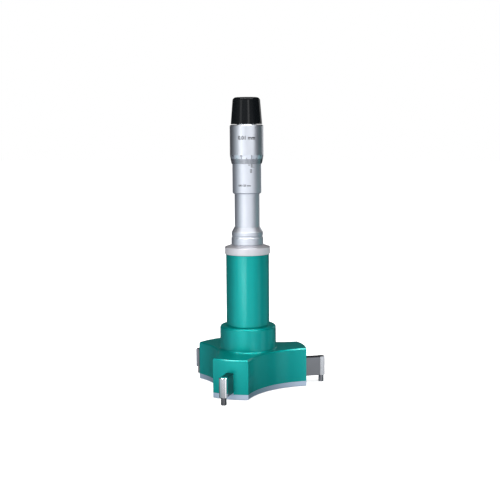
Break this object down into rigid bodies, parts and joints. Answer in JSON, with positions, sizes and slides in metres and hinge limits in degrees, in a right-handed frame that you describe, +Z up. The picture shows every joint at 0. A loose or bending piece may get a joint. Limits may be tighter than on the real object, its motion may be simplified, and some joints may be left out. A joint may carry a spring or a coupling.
{
  "type": "three-point inside micrometer",
  "caption": "Upright inside micrometer: a thimble with a ratchet feeds a cone that spreads sprung jaws in a scalloped, armed head to measure a bore.",
  "frame": {"origin": "on the measuring axis, at the underside of the base plate", "axes": "+Z up along the measuring axis from the base plate to the ratchet cap; the front arm points along -Y, the right arm to +X and +Y"},
  "size_m": [0.1052, 0.0926, 0.2168],
  "materials": {
    "green_paint": "smooth green enamel on cast aluminium",
    "satin_chrome": "satin",
    "plate_steel": "satin",
    "jaw_steel": "ground",
    "carbide": "lapped",
    "pale_aluminium": "fine matt anodised",
    "hidden_steel": "turned",
    "spring_steel": "drawn",
    "bronze": "turned",
    "black_plastic": "gloss"
  },
  "bodies": {
    "frame": {"head_body": "green_paint", "base_plate": "plate_steel", "base_screws": "hidden_steel", "spring_pegs": "hidden_steel", "guide_bush": "bronze", "key_pin": "hidden_steel", "handle_tube": "green_paint", "handle_collar": "pale_aluminium", "union_nut": "satin_chrome", "barrel": "satin_chrome", "graduated_sleeve": "satin_chrome", "thread_nut": "bronze", "adjusting_nut": "hidden_steel", "return_spring": "spring_steel", "jaw_spring_front": "spring_steel", "jaw_spring_right": "spring_steel", "jaw_spring_left": "spring_steel"},
    "cone": {"measuring_cone": "hidden_steel", "push_rod": "hidden_steel", "spring_collar": "hidden_steel", "thrust_ball": "hidden_steel"},
    "thimble": {"thimble": "satin_chrome", "spindle": "hidden_steel", "ratchet_drum": "hidden_steel", "ratchet_screw": "hidden_steel"},
    "ratchet": {"ratchet_cap": "black_plastic", "ratchet_spring": "spring_steel"},
    "clutch": {"ratchet_clutch": "hidden_steel"},
    "jaw_front": {"jaw_blade_front": "jaw_steel", "measuring_tip_front": "carbide"},
    "jaw_right": {"jaw_blade_right": "jaw_steel", "measuring_tip_right": "carbide"},
    "jaw_left": {"jaw_blade_left": "jaw_steel", "measuring_tip_left": "carbide"}
  },
  "joints": [
    {"name": "cone_feed", "type": "slide", "parent": "frame", "child": "cone", "axis": [0, 0, -1], "range_m": [-0.01, 0.0025], "deforming": ["return_spring"]},
    {"name": "thimble_turn", "type": "hinge", "parent": "cone", "child": "thimble", "pos_m": [0, 0, 0.18], "axis": [0, 0, -1], "range_deg": [-7201, 1801]},
    {"name": "ratchet_turn", "type": "hinge", "parent": "thimble", "child": "ratchet", "pos_m": [0, 0, 0.205], "axis": [0, 0, -1], "continuous": true},
    {"name": "clutch_lift", "type": "slide", "parent": "ratchet", "child": "clutch", "axis": [0, 0, 1], "range_m": [0, 0.0008], "stiffness_N_per_m": 400, "springref_m": -0.003, "deforming": ["ratchet_spring"]},
    {"name": "jaw_front_slide", "type": "slide", "parent": "frame", "child": "jaw_front", "axis": [0, -1, 0], "range_m": [-0.01001, 0.00251], "deforming": ["jaw_spring_front"]},
    {"name": "jaw_right_slide", "type": "slide", "parent": "frame", "child": "jaw_right", "axis": [0.866, 0.5, 0], "range_m": [-0.01001, 0.00251], "deforming": ["jaw_spring_right"]},
    {"name": "jaw_left_slide", "type": "slide", "parent": "frame", "child": "jaw_left", "axis": [-0.866, 0.5, 0], "range_m": [-0.01001, 0.00251], "deforming": ["jaw_spring_left"]}
  ],
  "couplings": [
    {"joint": "thimble_turn", "follows": "cone_feed", "rad_per_m": 12566},
    {"joint": "jaw_front_slide", "follows": "cone_feed", "ratio": 1},
    {"joint": "jaw_right_slide", "follows": "cone_feed", "ratio": 1},
    {"joint": "jaw_left_slide", "follows": "cone_feed", "ratio": 1}
  ]
}
